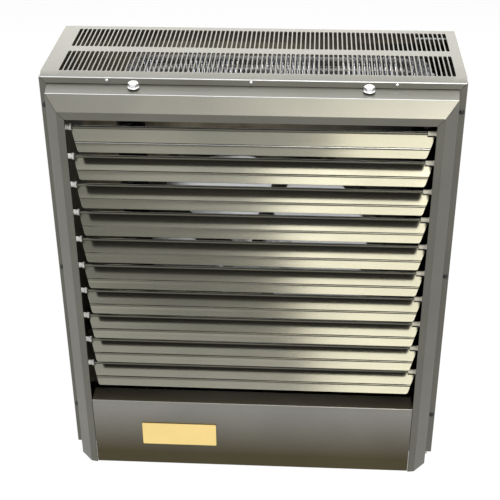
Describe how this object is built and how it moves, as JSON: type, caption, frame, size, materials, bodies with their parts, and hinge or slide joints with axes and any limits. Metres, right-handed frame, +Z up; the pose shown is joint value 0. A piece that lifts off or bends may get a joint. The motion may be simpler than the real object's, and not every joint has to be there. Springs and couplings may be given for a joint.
{
  "type": "fan heater",
  "caption": "Box-shaped electric fan heater with adjustable front louvers on a drop-down door, hung from a ceiling by two rods or screwed to a wall.",
  "frame": {"origin": "midway between the two hanging-rod holes, on the top faces of the hanger rails behind the cabinet", "axes": "+Z up, towards the ceiling; +X to the right seen from the front; the louvers blow towards -Y"},
  "size_m": [0.3556, 0.1909, 0.3937],
  "materials": {
    "cabinet_paint": "semi-gloss metallic bronze baked paint",
    "door_paint": "semi-gloss metallic bronze baked paint",
    "louver_paint": "semi-gloss metallic bronze baked paint",
    "galvanised_steel": "galvanised",
    "fan_aluminium": "bright rolled aluminium",
    "motor_black": "black enamel",
    "element_steel": "spiral-finned steel",
    "control_plastic": "moulded",
    "gold_plate": "satin gold, blank",
    "screw_zinc": "bright zinc",
    "carrier_black": "matt black",
    "nylon": "natural nylon"
  },
  "bodies": {
    "cabinet": {"top_panel": "cabinet_paint", "side_panel_left": "cabinet_paint", "side_panel_right": "cabinet_paint", "bottom_panel": "cabinet_paint", "door_catch_rail": "cabinet_paint", "hanger_rail_left": "cabinet_paint", "hanger_rail_right": "cabinet_paint", "rear_cover": "cabinet_paint", "back_panel": "galvanised_steel", "divider_plate": "galvanised_steel", "fan_motor": "motor_black", "heating_element_front": "element_steel", "heating_element_middle": "element_steel", "heating_element_rear": "element_steel", "contactor": "control_plastic", "control_transformer": "galvanised_steel", "fan_delay_relay": "control_plastic", "terminal_block": "control_plastic", "thermal_cutout": "galvanised_steel"},
    "door": {"door_frame": "door_paint", "lower_panel": "door_paint", "nameplate": "gold_plate", "door_screw_left": "screw_zinc", "door_screw_right": "screw_zinc", "louver_carrier_left": "carrier_black", "louver_carrier_right": "carrier_black", "bushing_left_01": "nylon", "bushing_right_01": "nylon", "bushing_left_02": "nylon", "bushing_right_02": "nylon", "bushing_left_03": "nylon", "bushing_right_03": "nylon", "bushing_left_04": "nylon", "bushing_right_04": "nylon", "bushing_left_05": "nylon", "bushing_right_05": "nylon", "bushing_left_06": "nylon", "bushing_right_06": "nylon", "bushing_left_07": "nylon", "bushing_right_07": "nylon", "bushing_left_08": "nylon", "bushing_right_08": "nylon", "bushing_left_09": "nylon", "bushing_right_09": "nylon", "bushing_left_10": "nylon", "bushing_right_10": "nylon"},
    "fan": {"fan_blade": "fan_aluminium"},
    "louver_01": {"louver_01": "louver_paint"},
    "louver_02": {"louver_02": "louver_paint"},
    "louver_03": {"louver_03": "louver_paint"},
    "louver_04": {"louver_04": "louver_paint"},
    "louver_05": {"louver_05": "louver_paint"},
    "louver_06": {"louver_06": "louver_paint"},
    "louver_07": {"louver_07": "louver_paint"},
    "louver_08": {"louver_08": "louver_paint"},
    "louver_09": {"louver_09": "louver_paint"},
    "louver_10": {"louver_10": "louver_paint"}
  },
  "joints": [
    {"name": "door_swing", "type": "hinge", "parent": "cabinet", "child": "door", "pos_m": [0, -0.14565, -0.365], "axis": [1, 0, 0], "range_deg": [0, 95]},
    {"name": "fan_spin", "type": "hinge", "parent": "cabinet", "child": "fan", "pos_m": [-0.006, -0.03815, -0.214], "axis": [0, 1, 0], "continuous": true},
    {"name": "louver_01_tilt", "type": "hinge", "parent": "door", "child": "louver_01", "pos_m": [0, -0.15665, -0.0141], "axis": [1, 0, 0], "range_deg": [-50, 30]},
    {"name": "louver_02_tilt", "type": "hinge", "parent": "door", "child": "louver_02", "pos_m": [0, -0.15665, -0.04122], "axis": [1, 0, 0], "range_deg": [-39, 41]},
    {"name": "louver_03_tilt", "type": "hinge", "parent": "door", "child": "louver_03", "pos_m": [0, -0.15665, -0.06834], "axis": [1, 0, 0], "range_deg": [-39, 41]},
    {"name": "louver_04_tilt", "type": "hinge", "parent": "door", "child": "louver_04", "pos_m": [0, -0.15665, -0.09546], "axis": [1, 0, 0], "range_deg": [-39, 41]},
    {"name": "louver_05_tilt", "type": "hinge", "parent": "door", "child": "louver_05", "pos_m": [0, -0.15665, -0.12258], "axis": [1, 0, 0], "range_deg": [-39, 41]},
    {"name": "louver_06_tilt", "type": "hinge", "parent": "door", "child": "louver_06", "pos_m": [0, -0.15665, -0.1497], "axis": [1, 0, 0], "range_deg": [-39, 41]},
    {"name": "louver_07_tilt", "type": "hinge", "parent": "door", "child": "louver_07", "pos_m": [0, -0.15665, -0.17682], "axis": [1, 0, 0], "range_deg": [-39, 41]},
    {"name": "louver_08_tilt", "type": "hinge", "parent": "door", "child": "louver_08", "pos_m": [0, -0.15665, -0.20394], "axis": [1, 0, 0], "range_deg": [-39, 41]},
    {"name": "louver_09_tilt", "type": "hinge", "parent": "door", "child": "louver_09", "pos_m": [0, -0.15665, -0.23106], "axis": [1, 0, 0], "range_deg": [-39, 41]},
    {"name": "louver_10_tilt", "type": "hinge", "parent": "door", "child": "louver_10", "pos_m": [0, -0.15665, -0.25818], "axis": [1, 0, 0], "range_deg": [-39, 41]}
  ]
}
